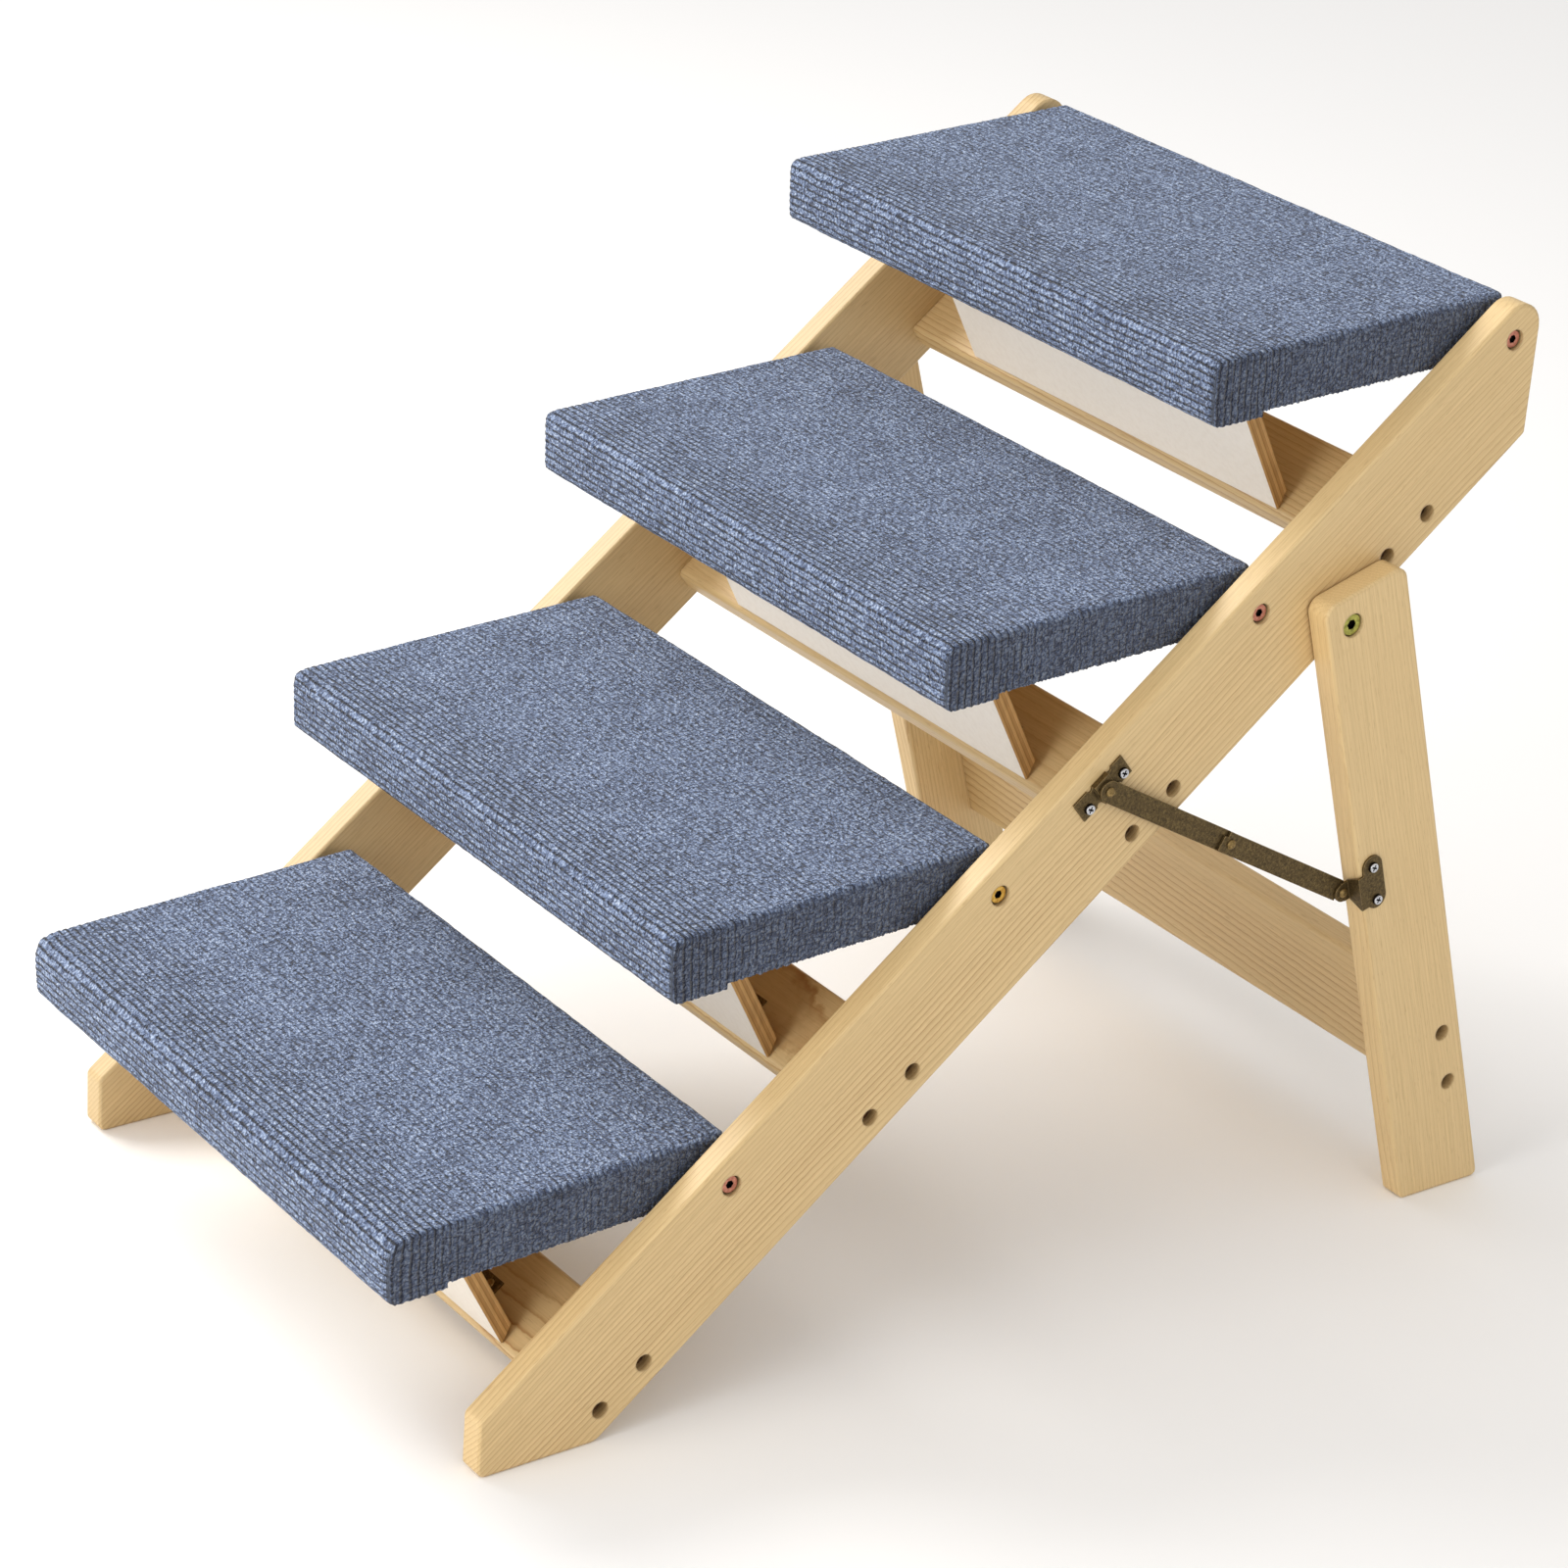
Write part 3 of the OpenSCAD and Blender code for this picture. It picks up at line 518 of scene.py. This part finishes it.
    # close the shell round its edges
    e = np.concatenate([q_outer[:, [c, (c + 1) % 4]] for c in range(4)])
    key = np.sort(e, 1)
    _, first, count = np.unique(key, axis=0, return_index=True, return_counts=True)
    edge = e[first[count == 1]]
    q_rim = np.stack([edge[:, 1], edge[:, 0], edge[:, 0] + n, edge[:, 1] + n], 1)
    q_inner = q_outer[:, ::-1] + n
    verts = np.concatenate([outer, np.stack([ia, iy, iz], -1)])
    me = bpy.data.meshes.new(f"carpet_{k}")
    me.from_pydata(verts.tolist(), [], np.concatenate([q_outer, q_inner, q_rim]).tolist())
    at = me.attributes.new("pile", "FLOAT_VECTOR", "POINT")
    width = np.tile(across * RIB / RIB_CELLS, 2)
    length = np.tile(along, 2) / 1000
    depth = np.tile(strong, 2)
    at.data.foreach_set("vector", np.stack([width, length, depth], 1).ravel())
    me.polygons.foreach_set("use_smooth", [True] * len(me.polygons))

    # flat inside faces need no cells
    bm = bmesh.new()
    bm.from_mesh(me)

    def inside(part):
        return all(min(v.index for v in f.verts) >= n for f in part.link_faces)

    inner = [e for e in bm.edges if min(v.index for v in e.verts) >= n and not e.is_boundary and inside(e)]
    ends = [v for v in bm.verts if v.index >= n and inside(v)]
    bmesh.ops.dissolve_limit(bm, angle_limit=0.01, verts=ends, edges=inner)
    bm.to_mesh(me)
    bm.free()
    x, z = pivot(k)
    place = Matrix.Translation((x, 0, z)) @ Matrix.Rotation(-TILT, 4, "Y") @ Matrix.Scale(0.001, 4)
    me.transform(place)
    me.update()
    me.materials.append(carpet(f"carpet_{k}", k))
    ob = bpy.data.objects.new(f"carpet_{k}", me)
    bpy.context.scene.collection.objects.link(ob)
    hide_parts(f"tread_carpet_{k}")
    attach(ob, f"tread_{k}")


for k in range(1, 5):
    carpet_piece(k)


# ---- materials on the CAD nodes
def give(name, mat):
    me = nodes[name].data
    me.materials.clear()
    me.materials.append(mat)


ALONG_RAIL = (0, SLOPE, 0)
ALONG_LEG = (0, LEAN - math.pi / 2, 0)
ALONG_Y = (0, 0, -math.pi / 2)
# name, grain, place in the pattern, tone, ring axis, how much of the board shows rings, ring scale
BOARDS = (
    ("rail_right", ALONG_RAIL, (0.3, 0.19, 0.02), 1.0, (0.012, 0.24, 0.0), 0.5, RINGS),
    # rail_left's lower tone is painted shade: its inner face lies in the treads' shade
    ("rail_left", ALONG_RAIL, (1.7, -0.25, 0.0), 0.94, (-0.01, 0.22, 0.0), 0.46, RINGS),
    ("leg_right", ALONG_LEG, (0.9, 0.22, 0.1), 1.01, (0.02, 0.20, 0.05), 0.56, RINGS),
    ("leg_left", ALONG_LEG, (2.4, -0.2, 0.1), 1.0, (-0.02, 0.21, 0.04), 0.5, RINGS),
    ("leg_crossbar", ALONG_Y, (0.5, 0.1, 0.1), 0.97, (0.05, 0.02, 0.04), 0.42, CROSS_RINGS))
for board, *look in BOARDS:
    give(board, pine(f"pine_{board}", *look))
for k in range(1, 5):
    _, z = pivot(k)
    give(f"crossbar_{k}", pine(f"pine_crossbar_{k}", ALONG_Y, (k * 0.7, 0.02 * k, 0.3 - z), 0.98,
                               (0.03, 0.03, 0.05), 0.5, CROSS_RINGS))
    give(f"tread_board_{k}", plain_wood(f"tread_board_{k}"))
    give(f"flap_{k}", faced_board(f"flap_{k}", k))
metal = bronze("antique_bronze")
rivet = bronze("bronze_rivet", 1.45)
hinge = bronze("hinge_bronze", 1.2)


def head(name, light, dark, metal, rough):
    """A fastener's finish with painted shade in its recess, made for the node it is on, since the recess
    is measured from the head's face."""
    def on(n):
        o = bpy.data.objects[n]
        out = max(abs((o.matrix_world @ v.co).y) for v in o.data.vertices)
        return plated(f"{name}_{n}", light, dark, metal, rough, out)
    return on


zinc = head("zinc", lin(225, 226, 230), lin(186, 188, 194), 1.0, 0.34)
copper = head("copper", lin(216, 150, 128), lin(168, 104, 86), 0.9, 0.36)
gold = head("yellow", lin(226, 184, 92), lin(180, 132, 50), 0.9, 0.34)
olive = head("olive", lin(190, 188, 96), lin(124, 122, 60), 0.9, 0.36)
steel = plated("sleeve_metal", lin(190, 188, 180), lin(140, 138, 132), 1.0, 0.32)
brass = plated("hinge_screw", lin(190, 164, 112), lin(130, 104, 64), 1.0, 0.34)
# the crossbars' screws are coloured dark brown, which also paints the shade of the holes they sit deep in
dark = plated("dark_screw", lin(104, 70, 40), lin(58, 36, 18), 0.55, 0.5)
# the first row that a node's name starts with gives its finish
FINISHES = (("tread_bolts_2", gold), ("tread_bolts", copper), ("tread_sleeves", steel),
            ("leg_washers", steel), ("leg_nuts", steel), ("leg_bolts", olive),
            ("hinge_screws", brass), ("flap_screws", brass), ("crossbar_screws", dark),
            ("leg_crossbar_screws", dark), ("rail_bracket_screws", zinc), ("leg_bracket_screws", zinc),
            ("rail_rivets", rivet), ("leg_rivets", rivet), ("elbow_rivet", rivet),
            ("hinge_leaves", hinge), ("flap_leaves", hinge), ("rail_brackets", metal),
            ("leg_brackets", metal), ("upper_arm", metal), ("lower_arm", metal))
for n in nodes:
    for start, mat in FINISHES:
        if n.startswith(start):
            give(n, mat(n) if callable(mat) else mat)
            break

# ---- floor, light and camera
FLOOR_SIZE = 14
WARM_WHITE = (1.0, 0.985, 0.97)
# the way the sky is brightest, and its strength away from it and towards it
SKY_WAY = (-0.62, 0.34, 0.70)
SKY_DIM, SKY_BRIGHT = 0.20, 0.98
# name, place, aim, size, power, colour
LAMPS = (("back", (-0.8, 1.9, 1.9), (0, 0, 0.25), 1.5, 46, (1.0, 0.98, 0.95)),
         ("front", (-2.4, -0.3, 1.0), (0, 0, 0.2), 1.4, 24, WARM_WHITE),
         ("side", (-0.2, -2.6, 1.2), (0, 0, 0.25), 1.6, 9, WARM_WHITE))
# the camera's angles in degrees, its place in metres, and its lens in millimetres
CAM_AZ, CAM_EL, CAM_ROLL = -37.11, 24.70, 4.17
CAM_PLACE = (-1.41683, -1.88103, 1.3218)
CAM_LENS, CAM_SENSOR = 104.8, 36
bpy.ops.mesh.primitive_plane_add(size=FLOOR_SIZE, location=(0, 0, 0))
floor = bpy.context.object
floor.name = "floor"
fm = Mat("floor", 0.85)
fm.color(lin(250, 250, 250))
floor.data.materials.append(fm.m)

scene = bpy.context.scene
world = bpy.data.worlds.new("world")
scene.world = world
world.use_nodes = True
wt = world.node_tree
bg = wt.nodes["Background"]
bg.inputs["Color"].default_value = (*WARM_WHITE, 1)
# a soft sky, brighter towards the front left and above
way = wt.nodes.new("ShaderNodeTexCoord")
dot = wt.nodes.new("ShaderNodeVectorMath")
dot.operation = "DOT_PRODUCT"
dot.inputs[1].default_value = SKY_WAY
wt.links.new(way.outputs["Generated"], dot.inputs[0])
rise = wt.nodes.new("ShaderNodeMapRange")
for key, value in (("From Min", -1.0), ("From Max", 1.0),
                   ("To Min", SKY_DIM), ("To Max", SKY_BRIGHT)):
    rise.inputs[key].default_value = value
wt.links.new(dot.outputs["Value"], rise.inputs["Value"])
wt.links.new(rise.outputs["Result"], bg.inputs["Strength"])


def lamp(name, place, aim, size, power, colour):
    d = bpy.data.lights.new(name, "AREA")
    d.shape = "DISK"
    d.size = size
    d.energy = power
    d.color = colour
    o = bpy.data.objects.new(name, d)
    scene.collection.objects.link(o)
    o.location = place
    o.rotation_euler = (Vector(aim) - Vector(place)).to_track_quat("-Z", "Y").to_euler()


for row in LAMPS:
    lamp(*row)

scene.view_settings.view_transform = "Standard"
scene.view_settings.look = "None"
scene.view_settings.exposure = 0.0

az, el, roll = math.radians(CAM_AZ), math.radians(CAM_EL), math.radians(CAM_ROLL)
ahead = Vector((-math.sin(az) * math.cos(el), math.cos(az) * math.cos(el), -math.sin(el)))
level = Vector((math.cos(az), math.sin(az), 0))
above = level.cross(ahead)
right = math.cos(roll) * level + math.sin(roll) * above
up = -math.sin(roll) * level + math.cos(roll) * above
cam_data = bpy.data.cameras.new("camera")
cam_data.sensor_width = CAM_SENSOR
cam_data.lens = CAM_LENS
cam = bpy.data.objects.new("camera", cam_data)
scene.collection.objects.link(cam)
turn = Matrix((right, up, -ahead)).transposed().to_4x4()
cam.matrix_world = Matrix.Translation(CAM_PLACE) @ turn
scene.camera = cam
